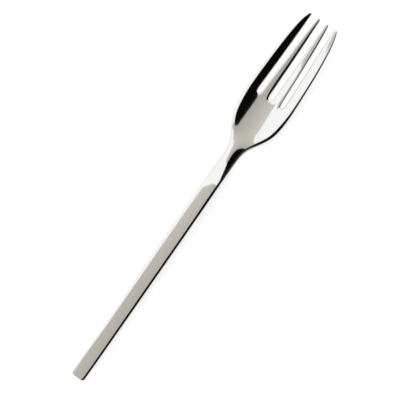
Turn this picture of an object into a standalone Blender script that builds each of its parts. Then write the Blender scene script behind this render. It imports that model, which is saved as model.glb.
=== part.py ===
"""Serving fork: a four-tined head with a stub tenon that is brazed into a straight bar handle.

Metres, +Z up. The fork lies as it lies on a table: +X runs from the handle's end to the tips of the
tines, the hollow of the head faces up, and the origin is on the table under the middle of the fork.
"""

from math import atan, exp, hypot, sqrt

import bmesh
import bpy
import numpy as np
from mathutils import Vector

# Places along the fork
LENGTH = 0.250
HANDLE_END = -LENGTH / 2
JOINT_X = 0.002
CREST_X = 0.003
NECK_X = 0.032
BELLY_X = 0.056
REST_X = 0.0533
BOWL_X = 0.0569
SLOT_END = 0.0709
TINE_TIP = LENGTH / 2

# Half width of the outline: (x, half width, slope), and the round of the corners at the handle's end
OUTLINE = (
    (HANDLE_END, 0.00440, 0.008),
    (-0.100, 0.00462, 0.004),
    (-0.010, 0.00484, 0.0),
    (0.0275, 0.00460, 0.0),
    (0.0357, 0.00500, 0.17),
    (0.0411, 0.00700, 0.57),
    (0.0477, 0.01092, 0.60),
    (0.0547, 0.01425, 0.27),
    (0.0710, 0.01570, 0.0),
    (0.0883, 0.01505, -0.055),
    (0.1113, 0.01312, -0.13),
    (0.1182, 0.01200, -0.21),
    (TINE_TIP, 0.00960, -0.60),
)
END_ROUND = 0.0018

# Side view: slope of the handle's straight underside, height of the head's top along the middle
# as (x, height, slope), and thickness along the middle as (x, thickness, slope)
HANDLE_RISE = 0.025
TOP_OF_HEAD = (
    (0.0132, 0.00661, -0.139),
    (0.019, 0.00537, -0.29),
    (0.0245, 0.00416, -0.15),
    (0.0295, 0.00357, -0.085),
    (0.040, 0.00281, -0.06),
    (BELLY_X, 0.00230, 0.0),
    (TINE_TIP, 0.01350, 0.32),
)
THICKNESS = (
    (HANDLE_END, 0.0027, 0.010),
    (-0.030, 0.0036, 0.009),
    (0.014, 0.0042, 0.0),
    (0.027, 0.0034, -0.095),
    (0.040, 0.0025, -0.04),
    (BELLY_X, 0.0022, -0.010),
    (TINE_TIP, 0.0013, -0.016),
)

# Crown of the top, which is nearly flat on the handle and a ridge on the neck: the slope of its
# sides and the round of its ridge; and the rise of the underside at its sides, which is flat along
# the handle and rounded at the handle's end and on the neck
CROWN_SLOPE = (
    (0.003, 1.0, 0.0),
    (0.012, 0.95, -20.0),
    (0.024, 0.55, -25.0),
    (0.030, 0.42, 0.0),
    (0.035, 0.38, -18.0),
    (0.046, 0.0, 0.0),
)
CROWN_ROUND = (
    (-0.002, 0.080, 0.0),
    (0.008, 0.032, -4.0),
    (0.012, 0.018, -1.6),
    (0.024, 0.0055, -0.9),
    (0.029, 0.0022, 0.0),
    (0.046, 0.0060, 0.0),
)
UNDER_RISE = (
    (HANDLE_END, 0.0004, 0.0),
    (-0.105, 0.0, 0.0),
    (0.0, 0.0, 0.0),
    (0.022, 0.0009, 0.0),
    (0.032, 0.0007, -0.03),
    (0.046, 0.0, 0.0),
)

# Bevel along the rim: width and slope
RIM_WIDTH = (
    (HANDLE_END, 0.00140, 0.0),
    (0.030, 0.00140, 0.0),
    (0.045, 0.00190, 0.0),
    (BELLY_X, 0.00190, 0.0),
    (0.075, 0.00130, -0.01),
    (TINE_TIP, 0.00070, 0.0),
)
RIM_SLOPE = (
    (HANDLE_END, 0.22, 0.0),
    (-0.030, 0.42, 0.0),
    (0.005, 0.42, 0.0),
    (0.030, 0.25, 0.0),
    (0.054, 0.76, 0.0),
    (TINE_TIP, 0.68, 0.0),
)
RIM_SHARE = 0.34

# Hollow of the head: a round dish that runs out into flat tines, tilted towards the middle
DISH_RADIUS = 0.045
DISH_START = 0.036
DISH_FULL = 0.053
INNER_TILT = 0.130
OUTER_TILT = 0.27
TILT_START = SLOT_END + 0.0015
TILT_RUN = 0.003

# Slight flat under the bowl, where the head rests on its two sides: depth of the sides, their
# distance from the middle, and their length and width
REST_DEPTH = 0.0003
REST_SIDE = 0.0040
REST_LENGTH = 0.004
REST_WIDTH = 0.0015

# Sides of the tines, on one side of the middle: (x, distance from the middle, slope)
INNER_TINE_INSIDE = ((0.070, 0.00150, 0.0), (0.1115, 0.00168, 0.015), (TINE_TIP, 0.00200, 0.04))
INNER_TINE_OUTSIDE = ((0.070, 0.00700, -0.036), (0.1115, 0.00535, -0.065), (TINE_TIP, 0.00400, -0.14))
OUTER_TINE_INSIDE = ((0.070, 0.00945, -0.030), (0.1115, 0.00812, -0.030), (TINE_TIP, 0.00785, -0.010))
SLOT_SHOULDER = 0.0006
SLOT_ROUND = 0.0009
TIP_ROUND = 0.0007

# Columns of the cage on one side of the middle: those down the middle of a slot and of a tine
SLOT_COLUMNS = (0, 4)
TINE_COLUMNS = (2, 6)

# Stub tenon of the head, in a blind mortise in the handle, with a gap for the brazing
TENON_LENGTH = 0.012
TENON_WIDTH = 0.0046
TENON_HEIGHT = 0.0014
TENON_ROOT = 0.003
GAP = 0.0003

# Fineness of the cage, and how often it is smoothed
END_ROWS = (0.0, 0.0005, 0.0018, 0.0050)
HANDLE_ROWS = 6
NECK_ROWS = 9
SHOULDER_ROWS = 8
BOWL_ROWS = 4
TINE_ROWS = 11
TINE_EASE = 1.5
SMOOTH_LEVELS = 1
SHARP_ANGLE = 0.6

STEEL_COLOUR = (0.67, 0.64, 0.60, 1.0)
STEEL_ROUGHNESS = 0.08


def follow(rule, x):
    """Value at x on the smooth curve through a rule's (x, value, slope) points."""
    if x <= rule[0][0]:
        return rule[0][1]
    for (x0, y0, m0), (x1, y1, m1) in zip(rule, rule[1:]):
        if x <= x1:
            span = x1 - x0
            u = (x - x0) / span
            swing = m0 * u * (1 - u) ** 2 - m1 * u**2 * (1 - u)
            return y0 * (1 + 2 * u) * (1 - u) ** 2 + y1 * u**2 * (3 - 2 * u) + span * swing
    return rule[-1][1]


def smooth_step(start, end, x):
    """0 before start, 1 after end, and a smooth run between them."""
    u = min(max((x - start) / (end - start), 0.0), 1.0)
    return u * u * (3 - 2 * u)


def handle_top(x):
    """Height of the handle's top: the thickness above a flat underside that rises evenly."""
    return HANDLE_RISE * (x - HANDLE_END) + follow(THICKNESS, x)


def top_height(x):
    """Height of the top along the middle of the whole fork."""
    if x <= CREST_X:
        return handle_top(x)
    step = 0.001
    slope = (handle_top(CREST_X) - handle_top(CREST_X - step)) / step
    return follow(((CREST_X, handle_top(CREST_X), slope), *TOP_OF_HEAD), x)


def half_width(x):
    """Half width of the outline, with the corners of the handle's end rounded off."""
    inset = max(END_ROUND - (x - HANDLE_END), 0.0)
    return follow(OUTLINE, x) - END_ROUND + sqrt(END_ROUND**2 - inset**2)


def columns(x):
    """Distances of the cage's columns from the middle, on one side, out to the rim."""
    half = half_width(x)
    rim = half - min(follow(RIM_WIDTH, x), RIM_SHARE * half)
    if x < JOINT_X:
        return [0, rim / 2, rim, half]
    if x < SLOT_END:
        at_slot = columns(SLOT_END)[:-1]
        gather = smooth_step(BOWL_X, SLOT_END, x)
        even = np.linspace(0, rim, len(at_slot))
        return [a + gather * (b * rim / at_slot[-1] - a) for a, b in zip(even, at_slot)] + [half]
    inside = follow(INNER_TINE_INSIDE, x)
    outside = follow(INNER_TINE_OUTSIDE, x)
    outer = follow(OUTER_TINE_INSIDE, x)
    rim = max(rim, (outer + half) / 2)
    return [0, inside, (inside + outside) / 2, outside, (outside + outer) / 2, outer, rim, half]


def dish(x, y):
    """Rise of the head's hollow above its middle."""
    bowl = y**2 / (2 * DISH_RADIUS)
    inner = (follow(INNER_TINE_INSIDE, x) + follow(INNER_TINE_OUTSIDE, x)) / 2
    outer = (follow(OUTER_TINE_INSIDE, x) + half_width(x)) / 2
    middle, tilt = (inner, INNER_TILT) if abs(y) < (inner + outer) / 2 else (outer, OUTER_TILT)
    flat = middle**2 / (2 * DISH_RADIUS) + tilt * (abs(y) - middle)
    run = smooth_step(TILT_START, TILT_START + TILT_RUN, x)
    return smooth_step(DISH_START, DISH_FULL, x) * (bowl + run * (flat - bowl))


def section(x, y):
    """Heights of the top and of the underside at a point of the plan."""
    middle = top_height(x) + dish(x, y)
    ridge = follow(CROWN_ROUND, x)
    crown = follow(CROWN_SLOPE, x) * (hypot(y, ridge) - ridge)
    bevel = follow(RIM_SLOPE, x) * max(abs(y) - columns(x)[-2], 0)
    rise = follow(UNDER_RISE, x) * (y / half_width(x)) ** 2
    away = hypot((x - REST_X) / REST_LENGTH, (abs(y) - REST_SIDE) / REST_WIDTH)
    rest = REST_DEPTH * exp(-(away**2))
    return middle - crown - bevel, middle - follow(THICKNESS, x) + rise - rest


def rows_of_handle():
    """Stations along the handle, closer together at its rounded end."""
    end = [HANDLE_END + step for step in END_ROWS]
    bar = np.linspace(end[-1], JOINT_X - GAP / 2, HANDLE_ROWS + 1)
    return [*end, *bar[1:]]


def rows_of_head():
    """Stations along the head, and the number of the row at which the slots begin."""
    neck = np.linspace(JOINT_X + GAP / 2, NECK_X, NECK_ROWS)
    shoulder = np.linspace(NECK_X, BOWL_X, SHOULDER_ROWS)[1:]
    bowl = np.linspace(BOWL_X, SLOT_END + SLOT_SHOULDER, BOWL_ROWS)[1:]
    ease = 1 - (1 - np.linspace(0, 1, TINE_ROWS)) ** TINE_EASE
    tines = bowl[-1] + (TINE_TIP - bowl[-1]) * ease[1:]
    closed = [*neck, *shoulder, *bowl]
    return [*closed, *tines], len(closed) - 1


def cage_points(rows, slot_row):
    """Points of the cage by (side, row, column), with round slot ends and round tips."""
    points = {}
    for i, x in enumerate(rows):
        half_columns = columns(x)
        last = len(half_columns) - 1
        for j in range(-last, last + 1):
            in_slot = abs(j) in SLOT_COLUMNS
            if in_slot and i > slot_row:
                continue
            along = x
            if in_slot and i == slot_row:
                along -= SLOT_ROUND
            if i == len(rows) - 1 > slot_row and abs(j) in TINE_COLUMNS:
                along += TIP_ROUND
            y = half_columns[abs(j)] * (1 if j >= 0 else -1)
            for side, z in zip(("top", "under"), section(x, y)):
                points[side, i, j] = (along, y, z)
    return points


def plate(name, rows, slot_row, joint_x):
    """A closed cage over rows and columns: top, underside, and a wall along every free edge.

    The slots are left open from slot_row on, and the wall at joint_x stays flat with a crisp outline.
    """
    bm = bmesh.new()
    verts = {key: bm.verts.new(point) for key, point in cage_points(rows, slot_row).items()}
    last = len(columns(rows[0])) - 1
    slot_cells = {cell for m in SLOT_COLUMNS for cell in (m - 1, m, -m - 1, -m)}

    def solid(i, j):
        inside = 0 <= i < len(rows) - 1 and -last <= j < last
        return inside and not (i >= slot_row and j in slot_cells)

    for i in range(len(rows) - 1):
        for j in range(-last, last):
            if not solid(i, j):
                continue
            ring = ((i, j), (i + 1, j), (i + 1, j + 1), (i, j + 1))
            bm.faces.new([verts["top", *corner] for corner in ring])
            bm.faces.new([verts["under", *corner] for corner in reversed(ring)])
            beyond = ((i, j - 1), (i + 1, j), (i, j + 1), (i - 1, j))
            for a, b, cell in zip(ring, ring[1:] + ring[:1], beyond):
                if not solid(*cell):
                    wall = (("under", *a), ("under", *b), ("top", *b), ("top", *a))
                    bm.faces.new([verts[corner] for corner in wall])
    bmesh.ops.recalc_face_normals(bm, faces=bm.faces)

    crease = bm.edges.layers.float.new("crease_edge")
    for edge in bm.edges:
        at_joint = [abs(face.calc_center_median().x - joint_x) < GAP / 10 for face in edge.link_faces]
        edge[crease] = float(any(at_joint) and not all(at_joint))

    mesh = bpy.data.meshes.new(name)
    bm.to_mesh(mesh)
    bm.free()
    piece = bpy.data.objects.new(name, mesh)
    bpy.context.collection.objects.link(piece)
    return piece


def smooth(piece):
    """Round the cage into the polished form."""
    subdivide = piece.modifiers.new("smooth", "SUBSURF")
    subdivide.levels = SMOOTH_LEVELS
    subdivide.render_levels = SMOOTH_LEVELS


def joint_block(name, start, end, clearance):
    """A guide block along the middle of the bar: the tenon, or the mortise with its clearance."""
    bpy.ops.mesh.primitive_cube_add(size=1)
    block = bpy.context.object
    block.name = name
    size = (end - start, TENON_WIDTH + 2 * clearance, TENON_HEIGHT + 2 * clearance)
    for vertex in block.data.vertices:
        vertex.co = Vector(a * b for a, b in zip(vertex.co, size))
    x = (start + end) / 2
    bar_middle = top_height(JOINT_X) - follow(THICKNESS, JOINT_X) / 2
    block.location = (x, 0, bar_middle + HANDLE_RISE * (x - JOINT_X))
    block.rotation_euler = (0, -atan(HANDLE_RISE), 0)
    block.hide_render = True
    block.display_type = "WIRE"
    return block


def combine(piece, block, operation):
    """Add a block to a piece, or cut it out."""
    boolean = piece.modifiers.new("joint", "BOOLEAN")
    boolean.operation = operation
    boolean.solver = "EXACT"
    boolean.object = block


def polished_steel(name):
    """Mirror-polished stainless steel."""
    material = bpy.data.materials.new(name)
    material.use_nodes = True
    shader = material.node_tree.nodes["Principled BSDF"]
    shader.inputs["Base Color"].default_value = STEEL_COLOUR
    shader.inputs["Metallic"].default_value = 1.0
    shader.inputs["Roughness"].default_value = STEEL_ROUGHNESS
    return material


def finish(piece, material):
    """Shade a piece smooth and give it its steel."""
    piece.data.shade_smooth()
    piece.data.set_sharp_from_angle(angle=SHARP_ANGLE)
    piece.data.materials.append(material)


def settle(pieces, guides, carrier):
    """Lay the fork on the table, with its box centred over the origin."""
    for thing in (*pieces, *guides):
        thing.parent = carrier
    graph = bpy.context.evaluated_depsgraph_get()
    shaped = [piece.evaluated_get(graph) for piece in pieces]
    points = [piece.matrix_world @ vertex.co for piece in shaped for vertex in piece.data.vertices]
    low = np.min(points, axis=0)
    high = np.max(points, axis=0)
    carrier.location = (-(low[0] + high[0]) / 2, -(low[1] + high[1]) / 2, -low[2])


def main():
    """Build the handle and the head, joint them and lay the fork down."""
    for old in list(bpy.data.objects):
        bpy.data.objects.remove(old)
    carrier = bpy.data.objects.new("serving_fork", None)
    bpy.context.collection.objects.link(carrier)

    handle_rows = rows_of_handle()
    handle = plate("handle", handle_rows, len(handle_rows), handle_rows[-1])
    head_rows, slot_row = rows_of_head()
    head = plate("fork_head", head_rows, slot_row, head_rows[0])
    smooth(handle)
    smooth(head)

    tenon_end = JOINT_X - TENON_LENGTH
    tenon = joint_block("tenon_shape", tenon_end, JOINT_X + TENON_ROOT, 0)
    mortise = joint_block("mortise_cutter", tenon_end - GAP, JOINT_X + GAP, GAP)
    combine(head, tenon, "UNION")
    combine(handle, mortise, "DIFFERENCE")

    finish(handle, polished_steel("handle_steel"))
    finish(head, polished_steel("head_steel"))
    settle((handle, head), (tenon, mortise), carrier)


main()
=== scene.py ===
"""Looks of the serving fork: mirror-polished steel on a white table, under level studio panels.

The head and the handle come from one formed blank that is cut at the joint, so the polish runs on
from one to the other. Metres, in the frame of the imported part: +X to the tips of the tines, +Y to
the left of the fork, +Z up.
"""

import logging
import math
from collections.abc import Iterator
from contextlib import contextmanager
from dataclasses import dataclass
from enum import Enum

import bpy
import numpy as np
from mathutils import Matrix, Vector


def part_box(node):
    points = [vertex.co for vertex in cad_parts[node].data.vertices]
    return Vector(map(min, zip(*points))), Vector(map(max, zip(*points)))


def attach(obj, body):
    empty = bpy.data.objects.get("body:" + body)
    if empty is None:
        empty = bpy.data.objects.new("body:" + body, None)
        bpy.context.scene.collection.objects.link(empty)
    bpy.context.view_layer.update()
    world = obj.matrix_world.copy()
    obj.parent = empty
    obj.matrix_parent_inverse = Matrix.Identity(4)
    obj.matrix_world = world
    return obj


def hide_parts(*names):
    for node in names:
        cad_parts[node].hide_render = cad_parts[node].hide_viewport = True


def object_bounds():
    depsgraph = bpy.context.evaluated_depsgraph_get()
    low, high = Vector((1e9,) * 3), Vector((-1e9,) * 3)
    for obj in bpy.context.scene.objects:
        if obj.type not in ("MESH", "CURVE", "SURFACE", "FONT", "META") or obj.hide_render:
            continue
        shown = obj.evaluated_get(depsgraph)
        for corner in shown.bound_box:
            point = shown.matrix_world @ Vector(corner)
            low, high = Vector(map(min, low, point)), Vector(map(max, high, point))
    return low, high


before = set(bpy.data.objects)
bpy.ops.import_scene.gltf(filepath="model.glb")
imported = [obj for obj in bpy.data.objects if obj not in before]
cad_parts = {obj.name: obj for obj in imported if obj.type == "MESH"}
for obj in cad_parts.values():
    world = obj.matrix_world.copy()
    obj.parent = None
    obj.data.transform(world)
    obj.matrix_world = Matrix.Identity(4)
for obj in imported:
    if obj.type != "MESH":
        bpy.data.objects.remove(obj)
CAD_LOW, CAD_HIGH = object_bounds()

log = logging.getLogger("serving_fork")

SMOOTH_ANGLE = math.radians(50)
JOINT_GAP = 0.0003
FACE_TOLERANCE = JOINT_GAP / 10


def linear(hex_colour: str) -> tuple[float, float, float, float]:
    """Gives the linear RGBA of a hex colour as it looks on a screen.

    Args:
        hex_colour: the colour as "#RRGGBB".

    Returns:
        Red, green and blue from 0 to 1, and an alpha of 1.
    """
    parts = [int(hex_colour[i : i + 2], 16) / 255 for i in (1, 3, 5)]
    red, green, blue = (
        part / 12.92 if part <= 0.04045 else ((part + 0.055) / 1.055) ** 2.4 for part in parts
    )
    return red, green, blue, 1.0


def add_node(
    tree: bpy.types.NodeTree,
    kind: str,
    inputs: dict[int | str, object] | None = None,
    **settings: object,
) -> bpy.types.Node:
    """Adds a node, with its settings, and sets or links its inputs.

    Args:
        tree: the node tree of a material or of the world.
        kind: the type name of the node.
        inputs: for each input, by name or number, a value or the output that it is linked to.
        settings: properties of the node itself.

    Returns:
        The new node.
    """
    node = tree.nodes.new(kind)
    for name, value in settings.items():
        setattr(node, name, value)
    for socket, value in (inputs or {}).items():
        if isinstance(value, bpy.types.NodeSocket):
            tree.links.new(value, node.inputs[socket])
        else:
            node.inputs[socket].default_value = value
    return node


def empty_tree(owner: bpy.types.Material | bpy.types.World) -> bpy.types.NodeTree:
    """Turns on the nodes of a material or of the world, and clears them."""
    owner.use_nodes = True
    owner.node_tree.nodes.clear()
    return owner.node_tree


def select_only(piece: bpy.types.Object) -> None:
    """Selects one object alone and makes it the active one."""
    bpy.ops.object.select_all(action="DESELECT")
    piece.select_set(True)
    bpy.context.view_layer.objects.active = piece


@contextmanager
def edit_mode(piece: bpy.types.Object) -> Iterator[None]:
    """Works on an object's mesh in edit mode, with faces selected, and leaves it again."""
    select_only(piece)
    bpy.ops.object.mode_set(mode="EDIT")
    bpy.ops.mesh.select_mode(type="FACE")
    yield
    bpy.ops.object.mode_set(mode="OBJECT")


@dataclass(frozen=True)
class Rule:
    """A value that runs smoothly along the fork, through (x, value, slope) points."""

    points: tuple[tuple[float, float, float], ...]

    def at(self, x: float) -> float:
        """Value at a place along the fork."""
        if x <= self.points[0][0]:
            return self.points[0][1]
        for (x0, y0, m0), (x1, y1, m1) in zip(self.points, self.points[1:]):
            if x <= x1:
                span = x1 - x0
                u = (x - x0) / span
                swing = m0 * u * (1 - u) ** 2 - m1 * u**2 * (1 - u)
                return y0 * (1 + 2 * u) * (1 - u) ** 2 + y1 * u**2 * (3 - 2 * u) + span * swing
        return self.points[-1][1]


def smooth_step(start: float, end: float, x: float) -> float:
    """0 before start, 1 after end, and a smooth run between them."""
    u = min(max((x - start) / (end - start), 0.0), 1.0)
    return u * u * (3 - 2 * u)


@dataclass(frozen=True)
class ForkForm:
    """Outline, side view, cross section and tines of the whole fork."""

    handle_end: float = -0.125
    crest: float = 0.003
    neck: float = 0.032
    belly: float = 0.056
    slot_end: float = 0.0709
    tip: float = 0.125

    half_outline: Rule = Rule((
        (-0.125, 0.00440, 0.008),
        (-0.100, 0.00462, 0.004),
        (-0.010, 0.00484, 0.0),
        (0.0065, 0.00478, -0.010),
        (0.0275, 0.00460, 0.0),
        (0.0357, 0.00500, 0.17),
        (0.0411, 0.00700, 0.57),
        (0.0477, 0.01092, 0.60),
        (0.0547, 0.01425, 0.27),
        (0.0640, 0.01555, 0.06),
        (0.0710, 0.01570, 0.0),
        (0.0883, 0.01505, -0.055),
        (0.1000, 0.01432, -0.085),
        (0.1113, 0.01312, -0.13),
        (0.1182, 0.01200, -0.21),
        (0.1225, 0.01080, -0.38),
        (0.1250, 0.00960, -0.60),
    ))
    end_round: float = 0.0018

    handle_rise: float = 0.025
    slope_step: float = 0.001
    head_top: Rule = Rule((
        (0.0132, 0.00668, -0.122),
        (0.019, 0.00537, -0.29),
        (0.0245, 0.00416, -0.15),
        (0.0295, 0.00357, -0.085),
        (0.040, 0.00281, -0.06),
        (0.056, 0.00230, 0.0),
        (0.125, 0.01350, 0.32),
    ))
    thickness: Rule = Rule((
        (-0.125, 0.0027, 0.010),
        (-0.030, 0.0036, 0.009),
        (0.014, 0.0042, 0.0),
        (0.027, 0.0034, -0.095),
        (0.040, 0.0025, -0.04),
        (0.056, 0.0022, -0.010),
        (0.125, 0.0013, -0.016),
    ))

    crown_slope: Rule = Rule((
        (0.003, 1.0, 0.0),
        (0.012, 0.95, -20.0),
        (0.018, 0.75, -33.0),
        (0.024, 0.55, -25.0),
        (0.030, 0.42, 0.0),
        (0.035, 0.38, -18.0),
        (0.039, 0.24, -42.0),
        (0.046, 0.0, 0.0),
    ))
    crown_round: Rule = Rule((
        (-0.002, 0.080, 0.0),
        (0.008, 0.032, -4.0),
        (0.012, 0.018, -1.6),
        (0.018, 0.0125, -1.0),
        (0.024, 0.0055, -0.9),
        (0.029, 0.0022, 0.0),
        (0.035, 0.0032, 0.2),
        (0.040, 0.0045, 0.3),
        (0.046, 0.0060, 0.0),
    ))
    ridge_shift: Rule = Rule((
        (-0.012, 0.0, 0.0),
        (0.002, -0.0008, 0.0),
        (0.011, -0.0008, 0.0),
        (0.020, 0.0, 0.06),
        (0.028, 0.0005, 0.06),
        (0.036, 0.0012, 0.0),
        (0.046, 0.0, 0.0),
    ))
    under_rise: Rule = Rule((
        (-0.125, 0.0004, 0.0),
        (-0.105, 0.0, 0.0),
        (0.0, 0.0, 0.0),
        (0.022, 0.0009, 0.0),
        (0.032, 0.0007, -0.03),
        (0.046, 0.0, 0.0),
    ))
    rest_place: float = 0.0533
    rest_depth: float = 0.0003
    rest_side: float = 0.0040
    rest_length: float = 0.0040
    rest_width: float = 0.0015
    dish_radius: float = 0.045
    dish_start: float = 0.040
    dish_full: float = 0.0495
    inner_tilt: float = 0.130
    outer_tilt: float = 0.27
    tilt_start: float = 0.0015
    tilt_run: float = 0.003

    inner_inside: Rule = Rule((
        (0.070, 0.00150, 0.0),
        (0.088, 0.00150, 0.003),
        (0.1115, 0.00168, 0.015),
        (0.125, 0.00200, 0.04),
    ))
    inner_outside: Rule = Rule((
        (0.070, 0.00700, -0.036),
        (0.088, 0.00632, -0.042),
        (0.100, 0.00575, -0.047),
        (0.1115, 0.00512, -0.065),
        (0.1205, 0.00436, -0.105),
        (0.125, 0.00385, -0.13),
    ))
    outer_inside: Rule = Rule((
        (0.070, 0.00945, -0.030),
        (0.088, 0.00885, -0.037),
        (0.1115, 0.00812, -0.030),
        (0.125, 0.00785, -0.010),
    ))
    rim_width: Rule = Rule((
        (-0.125, 0.00140, 0.0),
        (-0.040, 0.00145, 0.0),
        (-0.008, 0.00150, 0.0),
        (0.013, 0.00190, 0.0),
        (0.030, 0.0014, 0.0),
        (0.045, 0.0019, 0.0),
        (0.056, 0.0019, 0.0),
        (0.075, 0.00130, -0.01),
        (0.100, 0.00100, -0.012),
        (0.114, 0.00072, -0.02),
        (0.125, 0.00055, 0.0),
    ))
    rim_slope: Rule = Rule((
        (-0.125, 0.14, 0.0),
        (-0.030, 0.42, 0.0),
        (0.005, 0.42, 0.0),
        (0.030, 0.25, 0.0),
        (0.042, 0.55, 15.0),
        (0.054, 0.76, 0.0),
        (0.072, 0.76, 0.0),
        (0.090, 0.72, 0.0),
        (0.125, 0.68, 0.0),
    ))
    rim_edge: float = 0.00030
    rim_parts: int = 3
    rim_column: int = -3
    rim_hold: Rule = Rule((
        (0.0709, 0.0005, 0.0),
        (0.092, 0.00028, 0.0),
        (0.125, 0.00020, 0.0),
    ))
    rim_share: float = 0.34
    rim_drop: Rule = Rule((
        (-0.125, 0.00020, 0.0),
        (-0.080, 0.00012, 0.0),
        (0.000, 0.00010, 0.0),
        (0.012, 0.00004, 0.0),
        (0.028, 0.00010, 0.0),
        (0.044, 0.00004, 0.0),
        (0.056, 0.00015, 0.0),
        (0.085, 0.00020, 0.0),
        (0.100, 0.00012, 0.0),
        (0.125, 0.00010, 0.0),
    ))
    edge_width: float = 0.0008
    edge_share: float = 0.26
    edge_fall: float = 0.40
    outside_edge: Rule = Rule((
        (0.0709, 0.0008, 0.0),
        (0.088, 0.0008, 0.0),
        (0.105, 0.00105, 0.0),
        (0.125, 0.00095, 0.0),
    ))
    outside_share: float = 0.34
    outside_column: int = 5

    def handle_top(self, x: float) -> float:
        """Height of the handle's top: the thickness above a flat underside that rises evenly."""
        return self.handle_rise * (x - self.handle_end) + self.thickness.at(x)

    def top(self, x: float) -> float:
        """Height of the top along the middle."""
        if x <= self.crest:
            return self.handle_top(x)
        before = self.handle_top(self.crest - self.slope_step)
        slope = (self.handle_top(self.crest) - before) / self.slope_step
        return Rule(((self.crest, self.handle_top(self.crest), slope), *self.head_top.points)).at(x)

    def half_width(self, x: float) -> float:
        """Half width of the outline, with the corners of the handle's end rounded off."""
        inset = max(self.end_round - (x - self.handle_end), 0.0)
        return self.half_outline.at(x) - self.end_round + math.sqrt(self.end_round**2 - inset**2)

    def dish(self, x: float, y: float) -> float:
        """Rise of the head's hollow above its middle: a round dish that runs out into flat tines."""
        bowl = y**2 / (2 * self.dish_radius)
        inner = (self.inner_inside.at(x) + self.inner_outside.at(x)) / 2
        outer = (self.outer_inside.at(x) + self.half_width(x)) / 2
        middle, tilt = (inner, self.inner_tilt) if y < (inner + outer) / 2 else (outer, self.outer_tilt)
        flat = middle**2 / (2 * self.dish_radius) + tilt * (y - middle)
        start = self.slot_end + self.tilt_start
        run = smooth_step(start, start + self.tilt_run, x)
        return smooth_step(self.dish_start, self.dish_full, x) * (bowl + run * (flat - bowl))

    def heights(self, x: float, y: float) -> tuple[float, float]:
        """Heights of the top and of the underside at a point of the plan.

        Args:
            x: place along the fork.
            y: distance from its middle.

        Returns:
            The height of the top and the height of the underside.
        """
        middle = self.top(x) + self.dish(x, abs(y))
        ridge = self.crown_round.at(x)
        crown = self.crown_slope.at(x) * (math.hypot(y - self.ridge_shift.at(x), ridge) - ridge)
        crown += self.rim_slope.at(x) * max(abs(y) - self.columns(x)[self.rim_column], 0.0)
        rise = self.under_rise.at(x) * (y / self.half_width(x)) ** 2
        away_along = (x - self.rest_place) / self.rest_length
        away_across = (abs(y) - self.rest_side) / self.rest_width
        away = math.hypot(away_along, away_across)
        rest = self.rest_depth * math.exp(-(away**2))
        return middle - crown, middle - self.thickness.at(x) + rise - rest

    def edge_drop(self, x: float, column: int) -> float:
        """How far the edge of a tine lies below the tine's top, for one of the slots' columns."""
        width = self.outside_edge.at(x) if column == self.outside_column else self.edge_width
        return self.edge_fall * width

    def columns(self, x: float) -> list[float]:
        """Distances of the blank's columns from the middle, on one side, out to the rim."""
        half = self.half_width(x)
        rim = min(self.rim_width.at(x), self.rim_share * half)
        edge_line = half - min(self.rim_edge, rim / self.rim_parts)
        if x < self.slot_end:
            at_slot = self.columns(self.slot_end)
            slot_rim = at_slot[self.rim_column]
            within = [(half - rim) * y / slot_rim for y in at_slot[: self.rim_column + 1]]
            return [*within, edge_line, half]
        inside = self.inner_inside.at(x)
        outside = self.inner_outside.at(x)
        outer = self.outer_inside.at(x)
        edge = min(self.edge_width, self.edge_share * (outside - inside))
        outside_edge = min(self.outside_edge.at(x), self.outside_share * (outside - inside))
        outer_edge = min(self.edge_width, self.edge_share * (half - outer))
        rim_line = max(half - rim, half - self.edge_share * (half - outer))
        edge_line = max(edge_line, half - (half - rim_line) / self.rim_parts)
        outer_middle = (outer + half) / 2
        hold_line = max(rim_line - self.rim_hold.at(x), (outer_middle + rim_line) / 2)
        return [
            0.0,
            *(inside, inside + edge, (inside + outside) / 2, outside - outside_edge, outside),
            (outside + outer) / 2,
            *(outer, outer + outer_edge, outer_middle, hold_line),
            *(rim_line, edge_line, half),
        ]


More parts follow.
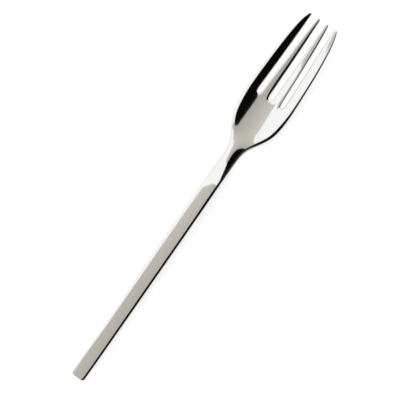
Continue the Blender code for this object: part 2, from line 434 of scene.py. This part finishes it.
@dataclass(frozen=True)
class Blank:
    """The whole fork in one piece, formed from a punched sheet."""

    form: ForkForm
    end_rows: tuple[float, ...] = (0.0, 0.0004, 0.0012, 0.0024, 0.0050)
    handle_rows: int = 13
    neck_rows: int = 16
    shoulder_rows: int = 11
    bowl_rows: int = 6
    tine_rows: int = 16
    tine_ease: float = 1.5
    half_sheet: float = 0.5
    sheet_depth: float = 1.0
    # Columns count outwards from the middle: 1 to 5 on the inner tine, 7 and up on the outer one
    slot_columns: tuple[int, ...] = (0, 6)
    slot_edges: tuple[int, ...] = (0, 1, 5, 6, 7)
    tine_columns: tuple[int, ...] = (3, 9)
    slot_hold: float = 0.0010
    slot_shoulder: float = 0.0006
    slot_round: float = 0.0009
    tip_round: float = 0.0007
    smooth_levels: int = 2

    def rows(self) -> tuple[list[float], int]:
        """Stations along the fork, and the number of the row at which the slots begin."""
        form = self.form
        end = [form.handle_end + step for step in self.end_rows]
        bar = np.linspace(end[-1], form.crest, self.handle_rows)[1:]
        neck = np.linspace(form.crest, form.neck, self.neck_rows)[1:]
        shoulder = np.linspace(form.neck, form.belly, self.shoulder_rows)[1:]
        bowl = np.linspace(form.belly, form.slot_end - self.slot_hold, self.bowl_rows)[1:]
        bowl = [*bowl, form.slot_end + self.slot_shoulder]
        ease = 1 - (1 - np.linspace(0, 1, self.tine_rows)) ** self.tine_ease
        tines = bowl[-1] + (form.tip - bowl[-1]) * ease[1:]
        closed = [*end, *bar, *neck, *shoulder, *bowl]
        return [float(x) for x in (*closed, *tines)], len(closed) - 1

    def build(self) -> bpy.types.Object:
        """Punches the slots from a sheet, gives it thickness, forms it and smooths it."""
        rows, slot_row = self.rows()
        last = len(self.form.columns(self.form.tip)) - 1
        sheet = self.punch(len(rows), last, slot_row)
        with edit_mode(sheet):
            bpy.ops.mesh.select_all(action="SELECT")
            bpy.ops.mesh.extrude_region_move(TRANSFORM_OT_translate={"value": (0, 0, -self.sheet_depth)})
        for vert in sheet.data.vertices:
            i = round((vert.co.x + self.half_sheet) * (len(rows) - 1))
            j = round(vert.co.y / self.half_sheet * last)
            on_top = vert.co.z > -self.sheet_depth / 2
            vert.co = self.place(rows, slot_row, i, j, on_top)
        with edit_mode(sheet):
            bpy.ops.mesh.select_all(action="SELECT")
            bpy.ops.mesh.normals_make_consistent(inside=False)
        select_only(sheet)
        bpy.ops.object.modifier_add(type="SUBSURF")
        smooth = sheet.modifiers[-1]
        smooth.levels = smooth.render_levels = self.smooth_levels
        bpy.ops.object.modifier_apply(modifier=smooth.name)
        return sheet

    def punch(self, row_count: int, last: int, slot_row: int) -> bpy.types.Object:
        """Makes a flat sheet of cells, one unit in size, and cuts the slots out of it.

        Args:
            row_count: how many rows of points lie along the fork.
            last: number of the outermost column on each side of the middle.
            slot_row: number of the row at which the slots begin.

        Returns:
            The sheet.
        """
        bpy.ops.object.select_all(action="DESELECT")
        bpy.ops.mesh.primitive_grid_add(
            x_subdivisions=row_count - 1, y_subdivisions=2 * last, size=2 * self.half_sheet
        )
        sheet = bpy.context.object
        with edit_mode(sheet):
            bpy.ops.mesh.select_all(action="DESELECT")
        for cell in sheet.data.polygons:
            row = math.floor((cell.center.x + self.half_sheet) * (row_count - 1))
            column = abs(cell.center.y) / self.half_sheet * last
            cell.select = row >= slot_row and any(abs(column - m) < 1 for m in self.slot_columns)
        with edit_mode(sheet):
            bpy.ops.mesh.delete(type="FACE")
        return sheet

    def place(self, rows: list[float], slot_row: int, i: int, j: int, on_top: bool) -> Vector:
        """Where a point of the sheet comes to lie on the fork.

        Args:
            rows: stations along the fork.
            slot_row: number of the row at which the slots begin.
            i: row of the point.
            j: column of the point, counted from the middle.
            on_top: whether it lies on the top or on the underside.

        Returns:
            The point, in metres.
        """
        x = rows[i]
        columns = self.form.columns(x)
        y = math.copysign(columns[abs(j)], j)
        top, underside = self.form.heights(x, y)
        drop = 0.0
        if abs(j) == len(columns) - 1:
            drop = self.form.rim_drop.at(x)
        elif i >= slot_row and abs(j) in self.slot_edges:
            drop = self.form.edge_drop(x, abs(j))
        if i == slot_row and abs(j) in self.slot_columns:
            x -= self.slot_round
        if i == len(rows) - 1 and abs(j) in self.tine_columns:
            x += self.tip_round
        return Vector((x, y, top - drop if on_top else underside + drop))


def fit_to_box(piece: bpy.types.Object, low: Vector, high: Vector) -> None:
    """Draws a piece out by the small amount that makes it fill a box exactly.

    Args:
        piece: the object, with its place in its mesh.
        low: lowest corner of the box.
        high: highest corner of the box.
    """
    points = np.array([vert.co for vert in piece.data.vertices])
    least, most = points.min(axis=0), points.max(axis=0)
    share = (points - least) / (most - least)
    fitted = np.array(low) + share * (np.array(high) - np.array(low))
    piece.data.vertices.foreach_set("co", fitted.ravel())
    piece.data.update()


@dataclass(frozen=True)
class PolishedSteel:
    """Stainless steel buffed to a mirror, with faint lines from the buffing wheel."""

    name: str
    colour: str = "#D5D2C9"
    deep_colour: str = "#CFCABF"
    sheen_roughness: float = 0.05
    worn_roughness: float = 0.09
    line_spacing: float = 0.0005
    line_length: float = 0.030
    line_depth: float = 0.0000012
    line_strength: float = 0.5
    line_detail: float = 2.0
    patch_size: float = 0.014
    patch_detail: float = 3.0
    patch_range: tuple[float, float] = (0.3, 0.7)

    def material(self) -> bpy.types.Material:
        """Builds the finish: warm grey metal, cloudy polish, and buffing lines along the fork."""
        made = bpy.data.materials.new(self.name)
        tree = empty_tree(made)
        place = add_node(tree, "ShaderNodeTexCoord").outputs["Object"]
        # Cloudy patches, where the buffing wheel has left the mirror a little duller
        patches = add_node(
            tree,
            "ShaderNodeTexNoise",
            {"Vector": place, "Scale": 1 / self.patch_size, "Detail": self.patch_detail},
        )
        colour = add_node(
            tree,
            "ShaderNodeMix",
            {"Factor": patches.outputs["Fac"], "A": linear(self.colour), "B": linear(self.deep_colour)},
            data_type="RGBA",
        )
        roughness = add_node(
            tree,
            "ShaderNodeMapRange",
            {
                "Value": patches.outputs["Fac"],
                "From Min": self.patch_range[0],
                "From Max": self.patch_range[1],
                "To Min": self.sheen_roughness,
                "To Max": self.worn_roughness,
            },
        )
        # Buffing lines run along the fork; they are drawn coarser than life so that they show
        stretch = (1 / self.line_length, 1 / self.line_spacing, 1 / self.line_spacing)
        along = add_node(tree, "ShaderNodeMapping", {"Vector": place, "Scale": stretch})
        lines = add_node(
            tree,
            "ShaderNodeTexNoise",
            {"Vector": along.outputs["Vector"], "Scale": 1.0, "Detail": self.line_detail},
        )
        bump = add_node(
            tree,
            "ShaderNodeBump",
            {
                "Height": lines.outputs["Fac"],
                "Strength": self.line_strength,
                "Distance": self.line_depth,
            },
        )
        steel = add_node(
            tree,
            "ShaderNodeBsdfPrincipled",
            {
                "Base Color": colour.outputs["Result"],
                "Metallic": 1.0,
                "Roughness": roughness.outputs["Result"],
                "Normal": bump.outputs["Normal"],
            },
        )
        add_node(tree, "ShaderNodeOutputMaterial", {"Surface": steel.outputs["BSDF"]})
        return made


class Keep(Enum):
    """Which part of the blank a piece keeps when it is cut at the joint."""

    TOWARDS_TIPS = "towards the tips"
    TOWARDS_END = "towards the handle's end"


@dataclass(frozen=True)
class StubTenon:
    """The head's stub tenon, which is brazed into a blind mortise in the handle."""

    length: float = 0.012
    width: float = 0.0046
    height: float = 0.0014
    root: float = 0.003
    rise: float = 0.025

    def block(self, joint: Vector, root: float, gap: float) -> bpy.types.Object:
        """Makes a block along the middle of the bar, in the shape of the tenon or of the mortise.

        Args:
            joint: middle of the joint.
            root: how far the block reaches past the joint towards the tips.
            gap: how much larger than the tenon it is on every other side.

        Returns:
            The block.
        """
        middle = joint.x + (root - self.length - gap) / 2
        bpy.ops.object.select_all(action="DESELECT")
        bpy.ops.mesh.primitive_cube_add(
            size=1,
            location=(middle, joint.y, joint.z + self.rise * (middle - joint.x)),
            rotation=(0, -math.atan(self.rise), 0),
            scale=(self.length + gap + root, self.width + 2 * gap, self.height + 2 * gap),
        )
        return bpy.context.object

    def work_into(self, piece: bpy.types.Object, joint_x: float, keep: Keep) -> None:
        """Adds the tenon to the head, or sinks the mortise into the handle."""
        face = [vert.co.z for vert in piece.data.vertices if abs(vert.co.x - joint_x) < FACE_TOLERANCE]
        joint = Vector((joint_x, 0, (min(face) + max(face)) / 2))
        if keep is Keep.TOWARDS_TIPS:
            block = self.block(joint, self.root, 0.0)
        else:
            block = self.block(joint, JOINT_GAP, JOINT_GAP)
        select_only(piece)
        bpy.ops.object.modifier_add(type="BOOLEAN")
        work = piece.modifiers[-1]
        work.operation = "UNION" if keep is Keep.TOWARDS_TIPS else "DIFFERENCE"
        work.object = block
        bpy.ops.object.modifier_apply(modifier=work.name)
        bpy.data.objects.remove(block)


@dataclass
class ForkPiece:
    """One of the two pieces of the fork, cut from the blank and dressed in its finish."""

    name: str
    node: str
    slot: str
    keep: Keep
    finish: PolishedSteel
    tenon: StubTenon = StubTenon()

    def build(self, blank: bpy.types.Object, joint_x: float) -> bpy.types.Object:
        """Cuts the piece from a copy of the blank, with its part of the joint."""
        select_only(blank)
        bpy.ops.object.duplicate()
        piece = bpy.context.object
        piece.name = piece.data.name = self.name
        with edit_mode(piece):
            bpy.ops.mesh.select_all(action="SELECT")
            bpy.ops.mesh.bisect(
                plane_co=(joint_x, 0, 0),
                plane_no=(1, 0, 0),
                use_fill=True,
                clear_inner=self.keep is Keep.TOWARDS_TIPS,
                clear_outer=self.keep is Keep.TOWARDS_END,
            )
        self.tenon.work_into(piece, joint_x, self.keep)
        select_only(piece)
        bpy.ops.object.shade_smooth_by_angle(angle=SMOOTH_ANGLE)
        return piece

    def dress(self, piece: bpy.types.Object) -> None:
        """Gives the piece its finish and its place in the frame."""
        piece.data.materials.clear()
        piece.data.materials.append(self.finish.material())
        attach(piece, "root")
        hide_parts(self.node)


@dataclass(frozen=True)
class Panel:
    """A level studio panel above the fork.

    Its corners are given in plan: right and left at the back, then right and left at the front. Its
    light runs from one glow to the other across the fork, and may get dimmer along the fork.
    """

    name: str
    corners: tuple[tuple[float, float], ...]
    height: float
    glow: tuple[float, float]
    glow_run: tuple[float, float] = (0.0, 1.0)
    dim: float = 1.0
    dim_run: tuple[float, float] = (0.0, 1.0)
    tint: str = "#FFFFFF"

    def build(self) -> bpy.types.Object:
        """Hangs the panel, where metal mirrors it but the camera doesn't see it."""
        bpy.ops.object.select_all(action="DESELECT")
        bpy.ops.mesh.primitive_plane_add(size=1)
        panel = bpy.context.object
        panel.name = panel.data.name = self.name
        for vert in panel.data.vertices:
            x, y = self.corners[2 * (vert.co.x > 0) + (vert.co.y > 0)]
            vert.co = (x, y, self.height)
        panel.data.materials.append(self.material())
        panel.visible_camera = False
        return panel

    def material(self) -> bpy.types.Material:
        """Builds the panel's light, from how it runs across the fork and along it."""
        made = bpy.data.materials.new(self.name)
        tree = empty_tree(made)
        place = add_node(tree, "ShaderNodeTexCoord").outputs["Object"]
        axes = add_node(tree, "ShaderNodeSeparateXYZ", {"Vector": place}).outputs
        across, along = (
            add_node(
                tree,
                "ShaderNodeMapRange",
                {
                    "Value": axis,
                    "From Min": run[0],
                    "From Max": run[1],
                    "To Min": values[0],
                    "To Max": values[1],
                },
            ).outputs["Result"]
            for axis, run, values in (
                (axes["Y"], self.glow_run, self.glow),
                (axes["X"], self.dim_run, (1.0, self.dim)),
            )
        )
        strength = add_node(tree, "ShaderNodeMath", {0: across, 1: along}, operation="MULTIPLY")
        light = add_node(
            tree, "ShaderNodeEmission", {"Color": linear(self.tint), "Strength": strength.outputs[0]}
        )
        add_node(tree, "ShaderNodeOutputMaterial", {"Surface": light.outputs["Emission"]})
        return made


@dataclass(frozen=True)
class Viewpoint:
    """The camera of the photograph: high above the fork, which runs up to the right in the picture."""

    distance: float = 1.0
    field: float = 0.2315
    lean: float = math.radians(2.5)
    turn: float = math.radians(34.81)
    aim: tuple[float, float, float] = (0.0003, 0.0001, 0.006)
    sensor: float = 36.0

    def build(self) -> bpy.types.Object:
        """Sets up the camera and makes it the scene's own."""
        facing = Vector((0, -math.sin(self.lean), math.cos(self.lean)))
        along = Vector((1, 0, 0))
        across = Vector((0, -math.cos(self.lean), -math.sin(self.lean)))
        right = math.sin(self.turn) * along + math.cos(self.turn) * across
        up = math.cos(self.turn) * along - math.sin(self.turn) * across
        camera = bpy.data.objects.new("camera", bpy.data.cameras.new("camera"))
        camera.data.sensor_width = self.sensor
        camera.data.lens = self.sensor * self.distance / self.field
        turned = Matrix((right, up, facing)).transposed().to_4x4()
        camera.matrix_world = Matrix.Translation(Vector(self.aim) + self.distance * facing) @ turned
        bpy.context.collection.objects.link(camera)
        bpy.context.scene.camera = camera
        return camera


@dataclass(frozen=True)
class Studio:
    """A white table under white, grey and black panels, in an evenly lit white room."""

    panel_height: float = 1.2
    panel_gap: float = 0.005
    panel_turn: float = math.radians(13)
    reach: float = 3.2
    black_edge: float = -0.304
    white_front: float = 0.328
    white_left: float = 0.259
    white_back: tuple[float, float] = (-0.233, 0.21)
    white_bend: tuple[float, float] = (-0.30, 0.60)
    white_far: tuple[float, float] = (-3.39, 4.2)
    grey_glow: tuple[float, float] = (0.61, 0.88)
    grey_dim: float = 0.918
    grey_run: tuple[float, float] = (-0.148, -0.208)
    white_glow: float = 1.63
    white_dim: float = 0.58
    white_run: tuple[float, float] = (1.1, 1.6)
    white_tint: str = "#EFF4FF"
    black_glow: tuple[float, float] = (0.004, 0.09)
    black_run: tuple[float, float] = (-1.4, -2.8)
    table_size: float = 12.0
    table_colour: str = "#C0C0C0"
    table_lift: float = 0.70
    room_glow: float = 1.0

    def turned(self, along: float, across: float) -> tuple[float, float]:
        """Point of the plan, from its distances along and across the turned panels."""
        cos, sin = math.cos(self.panel_turn), math.sin(self.panel_turn)
        return along * cos - across * sin, along * sin + across * cos

    def panels(self) -> list[Panel]:
        """Panels overhead: grey above the fork, white before it and to its left, black to its right."""
        far, edge = self.reach, self.black_edge
        high, middle, low = (self.panel_height - layer * self.panel_gap for layer in range(3))
        white = (self.white_glow, self.white_glow)
        near_edge = (self.turned(self.white_front, side) for side in (-far, far))
        far_edge = (self.turned(far, side) for side in (-far, far))
        left_back = (self.white_back, self.white_bend, self.white_far)
        left_sides = (self.white_left, self.white_bend[1], self.white_far[1])
        left_front = [self.turned(self.white_front, side) for side in left_sides]
        return [
            Panel(
                "grey_panel",
                ((-far, -far), (-far, far), (far, -far), (far, far)),
                high,
                self.grey_glow,
                (edge, self.white_left),
                self.grey_dim,
                self.grey_run,
            ),
            Panel(
                "white_panel_front",
                (*near_edge, *far_edge),
                middle,
                white,
                dim=self.white_dim,
                dim_run=self.white_run,
                tint=self.white_tint,
            ),
            Panel(
                "white_panel_left",
                (*left_back[:2], *left_front[:2]),
                middle,
                white,
                tint=self.white_tint,
            ),
            Panel(
                "white_panel_far_left",
                (*left_back[1:], *left_front[1:]),
                middle,
                white,
                tint=self.white_tint,
            ),
            Panel(
                "black_panel_right",
                ((-far, -far), (-far, edge), (far, -far), (far, edge)),
                low,
                self.black_glow,
                self.black_run,
            ),
        ]

    def build(self, floor_z: float) -> None:
        """Sets up the table, the panels, the room's light and the picture's plain view transform."""
        bpy.ops.object.select_all(action="DESELECT")
        bpy.ops.mesh.primitive_plane_add(size=self.table_size, location=(0, 0, floor_z))
        table = bpy.context.object
        table.name = table.data.name = "table"
        table.data.materials.append(self.table_material())
        for panel in self.panels():
            panel.build()
        world = bpy.data.worlds.new("white room")
        bpy.context.scene.world = world
        tree = empty_tree(world)
        room = add_node(
            tree, "ShaderNodeBackground", {"Color": linear("#FFFFFF"), "Strength": self.room_glow}
        )
        add_node(tree, "ShaderNodeOutputWorld", {"Surface": room.outputs["Background"]})
        bpy.context.scene.view_settings.view_transform = "Standard"

    def table_material(self) -> bpy.types.Material:
        """Builds matt white paper, lifted to white where it is seen, with the fork's soft shadow kept."""
        made = bpy.data.materials.new("white paper")
        tree = empty_tree(made)
        paper = add_node(tree, "ShaderNodeBsdfDiffuse", {"Color": linear(self.table_colour)})
        rays = add_node(tree, "ShaderNodeLightPath").outputs
        seen = add_node(
            tree, "ShaderNodeMath", {0: rays["Is Camera Ray"], 1: rays["Is Glossy Ray"]}, operation="ADD"
        )
        seen_through = add_node(
            tree,
            "ShaderNodeMath",
            {0: seen.outputs[0], 1: rays["Is Transmission Ray"]},
            operation="ADD",
            use_clamp=True,
        )
        strength = add_node(
            tree, "ShaderNodeMath", {0: seen_through.outputs[0], 1: self.table_lift}, operation="MULTIPLY"
        )
        lift = add_node(
            tree, "ShaderNodeEmission", {"Color": linear("#FFFFFF"), "Strength": strength.outputs[0]}
        )
        both = add_node(
            tree, "ShaderNodeAddShader", {0: paper.outputs["BSDF"], 1: lift.outputs["Emission"]}
        )
        add_node(tree, "ShaderNodeOutputMaterial", {"Surface": both.outputs["Shader"]})
        return made


def main() -> None:
    """Builds the fork's two pieces, the studio and the camera."""
    logging.basicConfig(level=logging.INFO, format="%(name)s: %(message)s")
    log.info("nodes in the frame: %s", ", ".join(sorted(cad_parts)))
    joint_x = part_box("handle")[1].x + JOINT_GAP / 2
    blank = Blank(ForkForm()).build()
    fit_to_box(blank, CAD_LOW, CAD_HIGH)
    for piece in (
        ForkPiece(
            "fork_head_polished",
            "fork_head",
            "head_steel",
            Keep.TOWARDS_TIPS,
            PolishedSteel("head steel"),
        ),
        ForkPiece(
            "handle_polished",
            "handle",
            "handle_steel",
            Keep.TOWARDS_END,
            PolishedSteel("handle steel", "#D6D1C9", "#D1CAC0"),
        ),
    ):
        made = piece.build(blank, joint_x)
        piece.dress(made)
        log.info("%s: %d faces", made.name, len(made.data.polygons))
    bpy.data.objects.remove(blank)
    Studio().build(CAD_LOW.z)
    Viewpoint().build()


if __name__ == "__main__":
    main()
